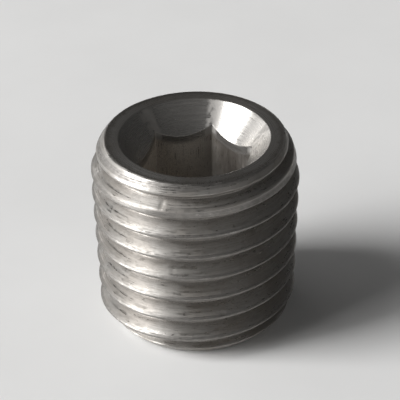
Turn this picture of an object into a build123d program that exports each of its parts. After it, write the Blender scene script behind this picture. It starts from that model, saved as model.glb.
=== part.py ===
from build123d import *
import math
import os

# Threaded plug with a hexagon socket, in millimetres, standing on its small end.
# The origin is the middle of the bottom face and +Z runs up the axis to the socket.

# Body, turned from bar
length = 8.2
large_end_diameter = 8.5
taper_of_diameter = 1 / 16

# Top end: a flat ring round the socket, a narrow rim chamfer and a slower lead-in,
# both by angle from the axis
top_face_diameter = 7.2
rim_chamfer_height = 0.4
rim_chamfer_angle = 37.0
lead_in_angle = 16.0

# Bottom end, with one chamfer up to the crests
bottom_face_diameter = 6.45
bottom_chamfer_angle = 45.0

# Right-hand thread, cut along the taper and out through both ends
pitch = 1.0
flank_angle = 60.0
crest_flat = 0.125
root_flat = 0.125
first_root_depth = 0.57
thread_start_angle = -90.0

# Hexagon socket with a countersink and a drilled end
socket_across_flats = 4.08
socket_depth = 4.2
socket_turn = 12.5
drill_point_angle = 118.0
countersink_diameter = 6.05
countersink_angle = 80.0

# How far a cutting tool runs clear of the metal, and the turns cut past each end
# so that the thread runs out
tool_clearance = 0.05
turns_past_end = 2


def crest_radius(height):
    """Radius over the thread crests at a height above the bottom face."""
    return large_end_diameter / 2 - (length - height) * taper_of_diameter / 2


def slope(angle_from_axis):
    """How much a radius grows for each millimetre along the axis."""
    return math.tan(math.radians(angle_from_axis))


def cone_height(radius, included_angle):
    """Height of a cone of the given base radius and included angle."""
    return radius / slope(included_angle / 2)


def tapered_bar(extra_length):
    """Bar turned to the taper, longer than the plug at both ends."""
    low, high = -extra_length, length + extra_length
    profile = Polyline((0, low), (crest_radius(low), low), (crest_radius(high), high), (0, high), close=True)
    return revolve(make_face(Plane.XZ * profile), Axis.Z)


def thread_groove(turns, start_height):
    """Solid swept by the thread tool along the taper."""
    flank_slope = slope(flank_angle / 2)
    root_half = root_flat / 2
    depth = ((pitch - crest_flat) / 2 - root_half) / flank_slope
    outer_half = root_half + (depth + tool_clearance) * flank_slope
    root = crest_radius(start_height) - depth
    outer = crest_radius(start_height) + tool_clearance
    section = Polyline(
        (root, start_height - root_half),
        (outer, start_height - outer_half),
        (outer, start_height + outer_half),
        (root, start_height + root_half),
        close=True,
    )
    path = Helix(
        pitch=pitch,
        height=turns * pitch,
        radius=root,
        center=(0, 0, start_height),
        cone_angle=math.degrees(math.atan(taper_of_diameter / 2)),
    )
    groove = sweep(make_face(Plane.XZ * section), path=path, is_frenet=True)
    return Rot(0, 0, thread_start_angle) * groove


def threaded_bar():
    """Tapered bar with the thread cut past both ends of the plug."""
    turns = math.ceil(length / pitch) + 2 * turns_past_end
    start_height = length - first_root_depth - (turns - turns_past_end) * pitch
    bar = tapered_bar(2 * turns_past_end * pitch)
    return bar - thread_groove(turns, start_height)


def end_envelope():
    """Solid between the end faces and inside the chamfers, wider than the thread between them."""
    top_radius = top_face_diameter / 2
    rim_radius = top_radius + rim_chamfer_height * slope(rim_chamfer_angle)
    bottom_radius = bottom_face_diameter / 2
    clear_radius = crest_radius(length) + pitch
    rim_height = length - rim_chamfer_height
    lead_in_height = (clear_radius - rim_radius) / slope(lead_in_angle)
    bottom_height = (clear_radius - bottom_radius) / slope(bottom_chamfer_angle)
    profile = Polyline(
        (0, 0),
        (bottom_radius, 0),
        (clear_radius, bottom_height),
        (clear_radius, rim_height - lead_in_height),
        (rim_radius, rim_height),
        (top_radius, length),
        (0, length),
        close=True,
    )
    return revolve(make_face(Plane.XZ * profile), Axis.Z)


def socket_tool():
    """Countersink, hexagon and drill point, as the one solid that is cut out."""
    down = (Align.CENTER, Align.CENTER, Align.MAX)
    lift = tool_clearance
    mouth = countersink_diameter / 2 + lift * slope(countersink_angle / 2)
    sink = Pos(0, 0, lift) * Cone(0, mouth, cone_height(mouth, countersink_angle), align=down)
    hexagon = Rot(0, 0, socket_turn) * RegularPolygon(socket_across_flats / 2, 6, major_radius=False)
    flats = extrude(Pos(0, 0, -socket_depth) * hexagon, socket_depth + lift)
    drill_radius = socket_across_flats / 2
    drill = Cone(0, drill_radius, cone_height(drill_radius, drill_point_angle), align=down)
    return Pos(0, 0, length) * (sink + flats + Pos(0, 0, -socket_depth) * drill)


def threaded_plug():
    """The finished plug, one piece."""
    plug = (threaded_bar() & end_envelope()) - socket_tool()
    plug.label = "plug"
    return plug


os.makedirs("parts", exist_ok=True)
export_step(threaded_plug(), "parts/plug.step")
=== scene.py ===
import math

import bpy
import numpy as np
from mathutils import Matrix, Vector


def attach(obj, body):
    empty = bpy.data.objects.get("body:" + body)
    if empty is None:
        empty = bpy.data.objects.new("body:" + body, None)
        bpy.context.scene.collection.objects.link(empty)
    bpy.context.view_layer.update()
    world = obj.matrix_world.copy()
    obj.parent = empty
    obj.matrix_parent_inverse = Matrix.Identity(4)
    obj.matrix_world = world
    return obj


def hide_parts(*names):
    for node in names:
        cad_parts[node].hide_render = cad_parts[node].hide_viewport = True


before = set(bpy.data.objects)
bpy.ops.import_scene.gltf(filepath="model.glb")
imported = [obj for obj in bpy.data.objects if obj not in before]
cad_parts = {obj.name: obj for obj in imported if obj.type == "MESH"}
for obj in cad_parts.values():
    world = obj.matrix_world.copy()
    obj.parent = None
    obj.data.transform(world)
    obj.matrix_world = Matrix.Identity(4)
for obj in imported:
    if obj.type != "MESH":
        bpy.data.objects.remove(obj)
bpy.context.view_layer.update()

# Sizes of the plug, the same as in the part's source: lengths in millimetres, angles in degrees
LENGTH = 8.2
LARGE_END_DIAMETER = 8.5
TAPER_OF_DIAMETER = 1 / 16
PITCH = 1.0
FLANK_ANGLE = 60.0
CREST_FLAT = 0.125
ROOT_FLAT = 0.125
FIRST_ROOT_DEPTH = 0.57
THREAD_START_ANGLE = -90.0
TOP_FACE_DIAMETER = 7.2
RIM_CHAMFER_HEIGHT = 0.4
RIM_CHAMFER_ANGLE = 37.0
LEAD_IN_ANGLE = 16.0
BOTTOM_FACE_DIAMETER = 6.45
BOTTOM_CHAMFER_ANGLE = 45.0
HEXAGON_SIDES = 6
SOCKET_ACROSS_FLATS = 4.08
SOCKET_DEPTH = 4.2
SOCKET_TURN = 12.5
DRILL_POINT_ANGLE = 118.0
COUNTERSINK_DIAMETER = 6.05
COUNTERSINK_ANGLE = 80.0

# Small roundings that a real tool leaves, in millimetres. One takes up no more than a part
# of each run beside it.
CREST_ROUND = 0.22
ROOT_ROUND = 0.12
EDGE_ROUND = 0.05
RIM_ROUND = 0.08
MOUTH_ROUND = 0.08
HEXAGON_ROUND = 0.08
FLOOR_ROUND = 0.04
DRILL_ROUND = 0.02
MOST_OF_A_RUN = 0.45

# Small dents on the thread: turns round the plug, then millimetres up it, across and deep
NICKS = [
    (-0.305, 7.36, 0.16, 0.05),
    (-0.29, 4.36, 0.10, 0.04),
    (-0.21, 2.28, 0.13, 0.05),
    (-0.12, 5.2, 0.11, 0.04),
    (0.08, 3.4, 0.14, 0.05),
    (0.27, 6.1, 0.12, 0.04),
    (0.41, 1.6, 0.15, 0.05),
]

# Rows across the thread: one by its part of half the root's flat, then millimetres past the
# edge of that flat, the run along the flank, and the step to either side of the crest's edge
ROW_ON_ROOT_FLAT = 0.6
ROWS_PAST_ROOT = (0, 0.03, 0.07)
FLANK_START = 0.11
FLANK_END = 0.05
FLANK_ROWS = 6
CREST_STEP = 0.025

# Rows beside both end faces, by their distance from the face in millimetres
END_ROWS = np.array([0, 0.002, 0.006, 0.012, 0.02, 0.03, 0.042, 0.06, 0.085, 0.12, 0.16, 0.2, 0.25, 0.3])
LEAST_STEP = 0.006
LEVEL_TOLERANCE = 1e-4

# Columns round the plug, and steps along the top ring, the countersink, a flat of the hexagon,
# the ledge at its foot and the drill point, with more in each rounding between them
COLUMNS = 300
SOCKET_STEPS = (4, 12, 16, 1, 8)
SOCKET_ROUND_STEPS = 4
STEPS_ABOVE_FLATS = SOCKET_STEPS[0] + SOCKET_STEPS[1] + 2 * SOCKET_ROUND_STEPS
LEDGE_START = 0.999
TIP_RADIUS = 0.02

MM = 0.001


def slope(angle_from_axis):
    """How much a radius grows for each millimetre along the axis."""
    return math.tan(math.radians(angle_from_axis))


def smooth_least(a, b, width):
    """The lesser of two lengths, rounded over where they cross."""
    near = np.maximum(width - np.abs(a - b), 0) / width
    return np.minimum(a, b) - near * near * width / 4


def smooth_most(a, b, width):
    """The greater of two lengths, rounded over where they cross."""
    return -smooth_least(-a, -b, width)


THREAD_DEPTH = ((PITCH - CREST_FLAT) / 2 - ROOT_FLAT / 2) / slope(FLANK_ANGLE / 2)


def crest_radius(height):
    """Radius over the thread's crests."""
    return LARGE_END_DIAMETER / 2 - (LENGTH - height) * TAPER_OF_DIAMETER / 2


def root_height(turn):
    """Height of one root of the thread at an angle given in turns."""
    return LENGTH - FIRST_ROOT_DEPTH + (turn - THREAD_START_ANGLE / 360) * PITCH


def thread_radius(height, turn):
    """Radius of the thread form on the taper."""
    phase = (height - root_height(turn)) / PITCH
    from_root = np.abs(phase - np.round(phase)) * PITCH
    rise = (from_root - ROOT_FLAT / 2) / slope(FLANK_ANGLE / 2)
    rise = smooth_least(smooth_most(rise, 0.0, ROOT_ROUND), THREAD_DEPTH, CREST_ROUND)
    return crest_radius(height) - THREAD_DEPTH + rise


def end_radius(height):
    """Radius that the chamfers leave at a height."""
    depth = LENGTH - height
    rim_edge = TOP_FACE_DIAMETER / 2 + RIM_CHAMFER_HEIGHT * slope(RIM_CHAMFER_ANGLE)
    rim = TOP_FACE_DIAMETER / 2 + depth * slope(RIM_CHAMFER_ANGLE)
    lead_in = rim_edge + (depth - RIM_CHAMFER_HEIGHT) * slope(LEAD_IN_ANGLE)
    bottom = BOTTOM_FACE_DIAMETER / 2 + height * slope(BOTTOM_CHAMFER_ANGLE)
    return smooth_least(smooth_least(rim, lead_in, RIM_ROUND), bottom, EDGE_ROUND)


def nick_depth(height, turn):
    """How deep the small dents are at a place on the outside."""
    depth = 0
    for at, level, across, deep in NICKS:
        around = ((turn - at + 0.5) % 1 - 0.5) * math.pi * LARGE_END_DIAMETER
        depth += deep * np.exp(-((height - level) ** 2 + around**2) / (across / 2) ** 2)
    return depth


def outer_radius(height, turn):
    """Radius of the whole outside, with its end edges rounded."""
    radius = smooth_least(thread_radius(height, turn), end_radius(height), EDGE_ROUND)
    to_end = np.minimum(LENGTH - height, height)
    into_round = np.maximum(EDGE_ROUND - to_end, 0)
    round_off = EDGE_ROUND - np.sqrt(np.maximum(EDGE_ROUND**2 - into_round**2, 0))
    return radius - round_off - nick_depth(height, turn)


def thread_rows():
    """Places along one pitch from a root, as parts of it, closer together at the crest and the root."""
    root = ROOT_FLAT / 2
    crest = (PITCH - CREST_FLAT) / 2
    places = [0, root * ROW_ON_ROOT_FLAT] + [root + past for past in ROWS_PAST_ROOT]
    places += list(np.linspace(root + FLANK_START, crest - FLANK_END, FLANK_ROWS))
    places += [crest - CREST_STEP, crest, crest + CREST_STEP, PITCH / 2]
    half = np.array(places) / PITCH
    return np.concatenate([half, 1 - half[-2:0:-1]])


def column_heights(turn):
    """Heights of the points up one column of the outside, lowest first."""
    pitches = math.ceil(LENGTH / PITCH) + 2
    base = root_height(turn) - PITCH * pitches
    whole = np.arange(pitches + 1)[:, None]
    sheared = (base + PITCH * (whole + thread_rows()[None, :])).ravel()
    fixed = np.concatenate([END_ROWS, LENGTH - END_ROWS])
    gap = np.abs(sheared[:, None] - fixed[None, :]).min(axis=1)
    inside = (sheared > 0) & (sheared < LENGTH) & (gap > LEAST_STEP)
    return np.sort(np.concatenate([sheared[inside], fixed]))


def run(start, end, steps):
    """Even steps from one point to another, without the first."""
    return [start.lerp(end, (k + 1) / steps) for k in range(steps)]


def rounded_path(corners, rounds):
    """Points along a line of straight runs with rounded corners, each run cut into its steps."""
    corners = [Vector(p) for p in corners]
    path = [corners[0]]
    for k, radius in enumerate(rounds):
        before, here, after = corners[k : k + 3]
        back, ahead = before - here, after - here
        tangent = radius / math.tan(back.angle(ahead) / 2)
        reach = min(tangent, MOST_OF_A_RUN * back.length, MOST_OF_A_RUN * ahead.length)
        start, end = here + back.normalized() * reach, here + ahead.normalized() * reach
        path += run(path[-1], start, SOCKET_STEPS[k])
        for step in range(1, SOCKET_ROUND_STEPS + 1):
            t = step / SOCKET_ROUND_STEPS
            path.append(start * (1 - t) ** 2 + here * 2 * t * (1 - t) + end * t * t)
    return path + run(path[-1], corners[-1], SOCKET_STEPS[-1])


def socket_column(turn):
    """Points from the rim to the drill's tip at one angle, as radius and height."""
    rim = float(outer_radius(np.array(LENGTH), turn))
    mouth = COUNTERSINK_DIAMETER / 2
    side_angle = 360 / HEXAGON_SIDES
    past_corner = (turn * 360 - SOCKET_TURN) % side_angle
    hexagon = SOCKET_ACROSS_FLATS / 2 / math.cos(math.radians(past_corner - side_angle / 2))
    edge = LENGTH - (mouth - hexagon) / slope(COUNTERSINK_ANGLE / 2)
    floor = LENGTH - SOCKET_DEPTH
    drill = SOCKET_ACROSS_FLATS / 2
    tip = floor - drill / slope(DRILL_POINT_ANGLE / 2)
    corners = [
        (rim, LENGTH),
        (mouth, LENGTH),
        (hexagon, edge),
        (hexagon, floor),
        (drill * LEDGE_START, floor),
        (TIP_RADIUS, tip),
    ]
    return rounded_path(corners, [MOUTH_ROUND, HEXAGON_ROUND, FLOOR_ROUND, DRILL_ROUND])


class Column:
    """The points at one angle, up the outside and down the socket.

    Their places across the tool marks count pitches from a root on the outside, and
    millimetres from the rim in the socket.
    """

    def __init__(self, turn, first):
        self.heights = column_heights(turn)
        outside = np.stack([outer_radius(self.heights, turn), self.heights], axis=1)
        socket = np.array([tuple(p) for p in socket_column(turn)])[1:]
        points = np.concatenate([outside, socket])
        lengths = np.hypot(*np.diff(np.concatenate([outside[-1:], socket]), axis=0).T)
        self.across = np.concatenate([(self.heights - root_height(turn)) / PITCH, np.cumsum(lengths)])
        self.in_bore = np.arange(len(points)) > len(outside) + STEPS_ABOVE_FLATS
        self.first = first
        self.last = first + len(points) - 1
        self.top = len(outside) - 1
        self.socket_steps = len(socket)
        angle = turn * 2 * math.pi
        radius, height = points[:, 0], points[:, 1]
        self.verts = np.stack([radius * math.cos(angle), radius * math.sin(angle), height], axis=1) * MM


def joined_outside(left, right):
    """Faces between two neighbouring columns up the outside, whose rows climb with the thread.

    A face's corners are given as a side, 0 for left or 1 for right, and a point of that column.
    """
    faces = []
    rise = PITCH / COLUMNS
    a = b = 0
    while a < left.top or b < right.top:
        next_a = left.heights[a + 1] if a < left.top else math.inf
        next_b = right.heights[b + 1] if b < right.top else math.inf
        sheared = END_ROWS[-1] < next_a < LENGTH - END_ROWS[-1]
        level_a = next_a + rise if sheared else next_a
        together = bool(min(abs(level_a - next_b), abs(next_a - next_b)) < LEVEL_TOLERANCE)
        up_a = together or bool(level_a < next_b)
        up_b = together or not up_a
        faces.append([(0, a), (1, b)] + [(1, b + 1)] * up_b + [(0, a + 1)] * up_a)
        a, b = a + up_a, b + up_b
    return faces


def joined_socket(left, right):
    """Faces between two neighbouring columns down the socket, given in the same way."""
    a, b = left.top, right.top
    steps = range(left.socket_steps)
    return [[(0, a + k), (1, b + k), (1, b + k + 1), (0, a + k + 1)] for k in steps]


def plug_mesh():
    """The whole plug as one closed mesh, in metres."""
    turns = (SOCKET_TURN + np.arange(COLUMNS) * 360 / COLUMNS) / 360
    columns, first = [], 0
    for turn in turns:
        columns.append(Column(turn, first))
        first = columns[-1].last + 1
    tip, foot = first, first + 1
    faces, across = [], []
    for j, left in enumerate(columns):
        pair = left, right = left, columns[(j + 1) % COLUMNS]
        wrap = PITCH if j == COLUMNS - 1 else 0
        for corners in joined_outside(left, right):
            faces.append([pair[side].first + k for side, k in corners])
            across += [pair[side].across[k] - wrap * side for side, k in corners]
        for corners in joined_socket(left, right):
            faces.append([pair[side].first + k for side, k in corners])
            across += [pair[side].across[k] if k > left.top else 0 for side, k in corners]
        for corners in ([left.last, right.last, tip], [right.first, left.first, foot]):
            faces.append(corners)
            across += [0] * len(corners)
    middles = [(0, 0, columns[0].verts[-1][2]), (0, 0, 0)]
    verts = np.concatenate([c.verts for c in columns] + [middles])
    in_bore = np.concatenate([c.in_bore for c in columns] + [[1, 0]]).astype(float)
    mesh = bpy.data.meshes.new("threaded_plug")
    mesh.from_pydata(verts.tolist(), [], faces)
    mesh.polygons.foreach_set("use_smooth", [True] * len(mesh.polygons))
    mesh.attributes.new("across_marks", "FLOAT", "CORNER").data.foreach_set("value", across)
    mesh.attributes.new("in_bore", "FLOAT", "POINT").data.foreach_set("value", in_bore)
    mesh.update()
    return mesh


# The Mix node's inputs and output by number, because each kind of value has sockets of its own
MIX_SOCKETS = {"FLOAT": (2, 3, 0), "VECTOR": (4, 5, 1), "RGBA": (6, 7, 2)}
NOISE_ROUGHNESS = 0.55


class Nodes:
    """Short calls for building a material's node tree. Values are numbers or other sockets."""

    def __init__(self, material):
        material.use_nodes = True
        self.tree = material.node_tree
        self.shader = self.tree.nodes["Principled BSDF"]

    def link(self, value, socket):
        if isinstance(value, bpy.types.NodeSocket):
            self.tree.links.new(value, socket)
        else:
            socket.default_value = value

    def make(self, kind, inputs=(), **settings):
        node = self.tree.nodes.new("ShaderNode" + kind)
        for name, value in settings.items():
            setattr(node, name, value)
        for key, value in dict(inputs).items():
            self.link(value, node.inputs[key])
        return node

    def math(self, operation, *values):
        return self.make("Math", enumerate(values), operation=operation).outputs[0]

    def noise(self, vector, scale, detail):
        inputs = {"Vector": vector, "Scale": scale, "Detail": detail, "Roughness": NOISE_ROUGHNESS}
        return self.make("TexNoise", inputs).outputs["Fac"]

    def spread(self, value, low, high, to_low=0.0, to_high=1.0):
        inputs = {"Value": value, "From Min": low, "From Max": high, "To Min": to_low, "To Max": to_high}
        return self.make("MapRange", inputs, interpolation_type="SMOOTHSTEP").outputs["Result"]

    def mix(self, fraction, a, b, kind="FLOAT"):
        first, second, result = MIX_SOCKETS[kind]
        return self.make("Mix", {0: fraction, first: a, second: b}, data_type=kind).outputs[result]

    def attribute(self, name):
        return self.make("Attribute", attribute_name=name).outputs["Fac"]

    def combine(self, x, y, z):
        return self.make("CombineXYZ", {"X": x, "Y": y, "Z": z}).outputs[0]


# The metal's colours
STEEL = (0.335, 0.322, 0.304, 1)
# Darker steel on the crests: painted shade that dims their reflection
CREST_PAINTED_SHADE = (0.22, 0.21, 0.198, 1)
STEEL_TARNISHED = (0.29, 0.268, 0.243, 1)
# Darker steel: grime in streaks over the whole surface, and grime with painted shade in the thread's
# roots
STEEL_GRIME_AND_SHADE = (0.19, 0.176, 0.16, 1)
# Dark steel in the socket: stain, and painted shade that darkens the flats the key lamp lights
STEEL_STAIN_AND_SHADE = (0.12, 0.106, 0.092, 1)
STEEL_CLEAN = (0.42, 0.405, 0.385, 1)
# Pale colour on the socket's left flats, which face away from the key lamp: painted light
BORE_PAINTED_LIGHT = (0.85, 0.79, 0.71, 1)

# Streaks by their wave count round the axis and per millimetre across, with the detail of
# their noise. Slow blotches shift them, so that no two turns of the thread are alike.
COARSE_STREAKS = (0.6, 14.0)
FINE_STREAKS = (1.2, 40.0)
STREAK_DETAIL = 3.0
STREAK_WANDER = 6.0

# The other patterns by scale per millimetre and detail
BLOTCHES = (0.55, 4.0)
MOTTLE = (5.0, 3.0)
GRAIN = (26.0, 2.0)

# Zones, each from where it sets in to where it is whole. The thread's are measured in pitches
# from a root, RUB_NEAR_CORNER as a cosine, and the others in millimetres: from the axis, below
# the top face, or to the right.
# The roots' zone darkens the grooves: grime together with painted shade where the grooves are deep
ROOT_GRIME_AND_SHADE = (0.24, 0.05)
# The crests' zone below is where the painted shade on the crests lies
CREST_SHADE_ZONE = (0.36, 0.43)
OUTSIDE_THREAD = (3.2, 3.4)
INSIDE_FACED_EDGE = (3.58, 3.5)
OUTSIDE_FACED_EDGE = (3.5, 3.58)
INSIDE_CONE_EDGE = (3.05, 2.98)
ABOVE_FACED_DEPTH = (1.6, 1.5)
RUB_NEAR_CORNER = (0.72, 0.97)
# The side zone below places the painted light on the socket's shaded left side
PAINTED_LIGHT_SIDE = (1.5, -1.1)

# How a pattern turns into strength or roughness: its low and high value, then what they give
TARNISH_BY_BLOTCHES = (0.42, 0.62, 0.0, 0.7)
CREST_SHADE_BY_MOTTLE = (0.3, 0.6, 0.6, 1.0)
ROOT_GRIME_AND_SHADE_BY_GRAIN = (0.3, 0.7, 0.4, 1.0)
STAIN_AND_SHADE_BY_BLOTCHES = (0.3, 0.62, 0.35, 1.0)
GRIME_BY_STREAKS = (0.35, 0.65, 0.0, 0.18)
PAINTED_LIGHT_BY_GRAIN = (0.2, 0.7, 0.5, 1.0)
RUBS_BY_MOTTLE = (0.35, 0.55, 0.0, 1.0)
ROUGH_OF_THREAD = (0.32, 0.68, 0.28, 0.72)
ROUGH_OF_FACED = (0.3, 0.7, 0.24, 0.36)
ROUGH_BY_MOTTLE = (0.3, 0.7, -0.08, 0.08)
ROUGH_OF_RUBS = 0.62
FACED_PART_OF_BORE = 0.3

# Height of the bump in millimetres, and each pattern's weight in it beside the fine streaks
BUMP_HEIGHT = 0.0012
BUMP_OF_COARSE = 1.6
BUMP_OF_GRAIN = 0.5
BUMP_OF_MOTTLE = 2.0

METALLIC_OUTSIDE = 0.88
METALLIC_IN_BORE = 0.5
ANISOTROPIC = 0.6
ANISOTROPIC_ROTATION = 0.25


class SteelSurface:
    """Turned steel, dull and warm grey: marks round the axis, painted shade on the crests, grime and
    painted shade in the roots, and painted light and shade in the socket.
    """

    def __init__(self, nodes):
        self.n = n = nodes
        place = n.make("TexCoord").outputs["Object"]
        self.place = n.make("VectorMath", {0: place, 3: 1 / MM}, operation="SCALE").outputs[0]
        self.x, self.y, self.z = n.make("SeparateXYZ", {0: self.place}).outputs
        squares = n.math("ADD", n.math("MULTIPLY", self.x, self.x), n.math("MULTIPLY", self.y, self.y))
        self.radius = n.math("MAXIMUM", n.math("SQRT", squares), TIP_RADIUS)
        self.across = n.attribute("across_marks")
        self.bore = n.attribute("in_bore")
        self.blotches = n.noise(self.place, *BLOTCHES)
        self.mottle = n.noise(self.place, *MOTTLE)
        self.grain = n.noise(self.place, *GRAIN)
        self.coarse = self.marks(*COARSE_STREAKS)
        self.fine = self.marks(*FINE_STREAKS)

    def marks(self, length, fineness):
        """Streaks round the axis, or along it on the broached flats."""
        n = self.n
        lap = n.math("FRACT", self.across)
        wander = n.math("MULTIPLY", self.blotches, STREAK_WANDER)
        out_x = n.math("MULTIPLY_ADD", n.math("DIVIDE", self.x, self.radius), length, wander)
        out_y = n.math("MULTIPLY", n.math("DIVIDE", self.y, self.radius), length)
        turned = n.combine(out_x, out_y, n.math("MULTIPLY", lap, fineness))
        sideways = [n.math("MULTIPLY", value, fineness) for value in (self.x, self.y)]
        broached = n.combine(*sideways, n.math("MULTIPLY", self.z, length))
        return n.noise(n.mix(self.bore, turned, broached, "VECTOR"), 1.0, STREAK_DETAIL)

    def from_root(self):
        """Distance from the nearest root, in pitches."""
        n = self.n
        nearest = n.math("SUBTRACT", n.math("FRACT", n.math("ADD", self.across, 0.5)), 0.5)
        return n.math("ABSOLUTE", nearest)

    def faced(self, edge):
        """The top ring and the countersink, out to an edge."""
        n = self.n
        depth = n.math("SUBTRACT", LENGTH, self.z)
        return n.math("MULTIPLY", n.spread(self.radius, *edge), n.spread(depth, *ABOVE_FACED_DEPTH))

    def cone(self):
        """The countersink alone."""
        n = self.n
        return n.math("MULTIPLY", self.faced(INSIDE_CONE_EDGE), n.math("SUBTRACT", 1.0, self.bore))

    def rubs(self):
        """Where a key has rubbed the countersink, beside the hexagon's corners."""
        n = self.n
        turned = n.math("SUBTRACT", n.math("ARCTAN2", self.y, self.x), math.radians(SOCKET_TURN))
        beside = n.math("COSINE", n.math("MULTIPLY", turned, HEXAGON_SIDES))
        near = n.spread(beside, *RUB_NEAR_CORNER)
        broken = n.math("MULTIPLY", near, n.spread(self.mottle, *RUBS_BY_MOTTLE))
        return n.math("MULTIPLY", broken, self.cone())

    def colour(self):
        """Steel, then the layers over it: each a colour, a zone and what breaks the zone up."""
        n = self.n
        crest = n.spread(self.from_root(), *CREST_SHADE_ZONE)
        crest = n.math("MULTIPLY", crest, n.spread(self.radius, *OUTSIDE_FACED_EDGE))
        root = n.spread(self.from_root(), *ROOT_GRIME_AND_SHADE)
        root = n.math("MULTIPLY", root, n.spread(self.radius, *OUTSIDE_THREAD))
        # Where the socket's shaded left flats get painted light
        painted_light_zone = n.math("MULTIPLY", self.bore, n.spread(self.x, *PAINTED_LIGHT_SIDE))
        layers = [
            (STEEL_TARNISHED, 1.0, n.spread(self.blotches, *TARNISH_BY_BLOTCHES)),
            # Painted shade on the crests, dimming their reflection
            (CREST_PAINTED_SHADE, crest, n.spread(self.mottle, *CREST_SHADE_BY_MOTTLE)),
            # Grime and painted shade in the thread's roots
            (STEEL_GRIME_AND_SHADE, root, n.spread(self.grain, *ROOT_GRIME_AND_SHADE_BY_GRAIN)),
            # Stain and painted shade over the socket
            (STEEL_STAIN_AND_SHADE, self.bore, n.spread(self.blotches, *STAIN_AND_SHADE_BY_BLOTCHES)),
            (STEEL_GRIME_AND_SHADE, 1.0, n.spread(self.coarse, *GRIME_BY_STREAKS)),
            (STEEL_CLEAN, self.cone(), 1.0),
            # Painted light on the socket's shaded left flats
            (BORE_PAINTED_LIGHT, painted_light_zone, n.spread(self.grain, *PAINTED_LIGHT_BY_GRAIN)),
        ]
        colour = STEEL
        for layer, zone, breaks in layers:
            colour = n.mix(n.math("MULTIPLY", zone, breaks), colour, layer, "RGBA")
        return colour

    def roughness(self):
        """Uneven on the thread, smoother where a tool faced the top and the socket, dull on the rubs."""
        n = self.n
        uneven = n.spread(self.mottle, *ROUGH_BY_MOTTLE)
        thread = n.math("ADD", n.spread(self.fine, *ROUGH_OF_THREAD), uneven)
        smooth = n.spread(self.fine, *ROUGH_OF_FACED)
        in_bore = n.math("MULTIPLY", self.bore, FACED_PART_OF_BORE)
        faced = n.math("MAXIMUM", self.faced(INSIDE_FACED_EDGE), in_bore)
        return n.mix(self.rubs(), n.mix(faced, thread, smooth), ROUGH_OF_RUBS)

    def bump(self):
        """Normals over the tool marks and the grain."""
        n = self.n
        height = n.math("MULTIPLY_ADD", self.coarse, BUMP_OF_COARSE, self.fine)
        height = n.math("MULTIPLY_ADD", self.grain, BUMP_OF_GRAIN, height)
        height = n.math("MULTIPLY_ADD", self.mottle, BUMP_OF_MOTTLE, height)
        inputs = {"Strength": 1.0, "Distance": BUMP_HEIGHT * MM, "Height": height}
        return n.make("Bump", inputs).outputs[0]


def steel():
    """The plug's material."""
    material = bpy.data.materials.new("turned_steel")
    n = Nodes(material)
    surface = SteelSurface(n)
    inputs = n.shader.inputs
    n.link(surface.colour(), inputs["Base Color"])
    n.link(surface.roughness(), inputs["Roughness"])
    n.link(n.mix(surface.bore, METALLIC_OUTSIDE, METALLIC_IN_BORE), inputs["Metallic"])
    n.link(surface.bump(), inputs["Normal"])
    inputs["Anisotropic"].default_value = ANISOTROPIC
    inputs["Anisotropic Rotation"].default_value = ANISOTROPIC_ROTATION
    n.link(n.make("Tangent", direction_type="RADIAL", axis="Z").outputs[0], inputs["Tangent"])
    return material


plug = bpy.data.objects.new("plug_surface", plug_mesh())
bpy.context.scene.collection.objects.link(plug)
plug.data.materials.append(steel())
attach(plug, "root")
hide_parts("plug")

# Soft lamps on upright walls round the plug. Each has its two sides in degrees round from the
# left towards the back, its lower and upper edge in degrees of rise, and its radiance.
LIGHT_CENTRE = Vector((0, 0, 0.004))
WALL_DISTANCE = 0.6
LAMPS = {
    "key_core": (-25, 4, 1, 58, 8.6),
    "key_wide": (-39, 4, 1, 54, 4.1),
    "side_card": (3, 62, 4, 23, 2.3),
    "front_card": (-145, -65, 1, 16, 1.5),
}
AMBIENT = (0.046, 0.046, 0.046, 1)


def wall_lamp(name, left, right, low, high, radiance):
    """One lamp on its wall, facing the plug. Its edges are angles seen from the plug."""
    middle, half = math.radians((left + right) / 2), math.radians((right - left) / 2)
    width = 2 * WALL_DISTANCE * math.tan(half)
    bottom, top = (WALL_DISTANCE * math.tan(math.radians(rise)) for rise in (low, high))
    outward = Vector((-math.cos(middle), math.sin(middle), 0))
    data = bpy.data.lights.new(name, "AREA")
    data.shape = "RECTANGLE"
    data.size, data.size_y = width, top - bottom
    data.energy = radiance * math.pi * width * (top - bottom)
    item = bpy.data.objects.new(name, data)
    item.location = LIGHT_CENTRE + outward * WALL_DISTANCE + Vector((0, 0, (bottom + top) / 2))
    item.rotation_euler = (-outward).to_track_quat("-Z", "Y").to_euler()
    bpy.context.scene.collection.objects.link(item)


for lamp, place in LAMPS.items():
    wall_lamp(lamp, *place)
world = bpy.data.worlds.new("studio")
bpy.context.scene.world = world
world.use_nodes = True
world.node_tree.nodes["Background"].inputs["Color"].default_value = AMBIENT

# The floor, half its width in metres, faintly cloudy between two tones
FLOOR_HALF = 1.5
FLOOR_PALE = (0.75, 0.747, 0.74, 1)
FLOOR_DULL = (0.73, 0.727, 0.72, 1)
FLOOR_CLOUDS = (160.0, 3.0)
PALE_BY_CLOUDS = (0.3, 0.7)
FLOOR_ROUGHNESS = 0.9
FLOOR_SPECULAR = 0.1


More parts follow.
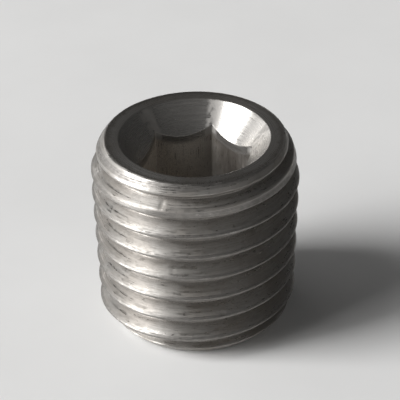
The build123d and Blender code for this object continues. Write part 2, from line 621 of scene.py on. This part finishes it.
def floor_material():
    """Matt and pale."""
    material = bpy.data.materials.new("pale_floor")
    n = Nodes(material)
    clouds = n.noise(n.make("TexCoord").outputs["Object"], *FLOOR_CLOUDS)
    colour = n.mix(n.spread(clouds, *PALE_BY_CLOUDS), FLOOR_DULL, FLOOR_PALE, "RGBA")
    n.link(colour, n.shader.inputs["Base Color"])
    n.shader.inputs["Roughness"].default_value = FLOOR_ROUGHNESS
    n.shader.inputs["Specular IOR Level"].default_value = FLOOR_SPECULAR
    return material


def floor():
    """A square of floor under the plug."""
    mesh = bpy.data.meshes.new("floor")
    corners = [(x * FLOOR_HALF, y * FLOOR_HALF, 0) for x, y in ((-1, -1), (1, -1), (1, 1), (-1, 1))]
    mesh.from_pydata(corners, [], [(0, 1, 2, 3)])
    item = bpy.data.objects.new("floor", mesh)
    bpy.context.scene.collection.objects.link(item)
    mesh.materials.append(floor_material())


floor()

# The camera stands in front and looks down at the plug: its rise in degrees, roll in radians,
# distance in metres, and the shift of its picture in parts of the picture's width
CAMERA_RISE = 33.5
CAMERA_DISTANCE = 0.085
CAMERA_ROLL = -0.0186
CAMERA_SHIFT = (0.00975, 0.053)
LOOK_AT = Vector((0, 0, 0.004175))
SENSOR_WIDTH = 36
FOCAL_PIXELS = 2090
PICTURE_PIXELS = 400


def camera():
    """The scene's camera."""
    data = bpy.data.cameras.new("camera")
    data.sensor_width = SENSOR_WIDTH
    data.lens = FOCAL_PIXELS * SENSOR_WIDTH / PICTURE_PIXELS
    data.shift_x, data.shift_y = CAMERA_SHIFT
    data.clip_start = MM
    item = bpy.data.objects.new("camera", data)
    rise = math.radians(CAMERA_RISE)
    item.location = LOOK_AT + CAMERA_DISTANCE * Vector((0, -math.cos(rise), math.sin(rise)))
    turned = (LOOK_AT - item.location).to_track_quat("-Z", "Y").to_matrix().to_4x4()
    item.matrix_world = Matrix.Translation(item.location) @ turned @ Matrix.Rotation(CAMERA_ROLL, 4, "Z")
    bpy.context.scene.collection.objects.link(item)
    bpy.context.scene.camera = item


camera()
bpy.context.scene.view_settings.view_transform = "Standard"

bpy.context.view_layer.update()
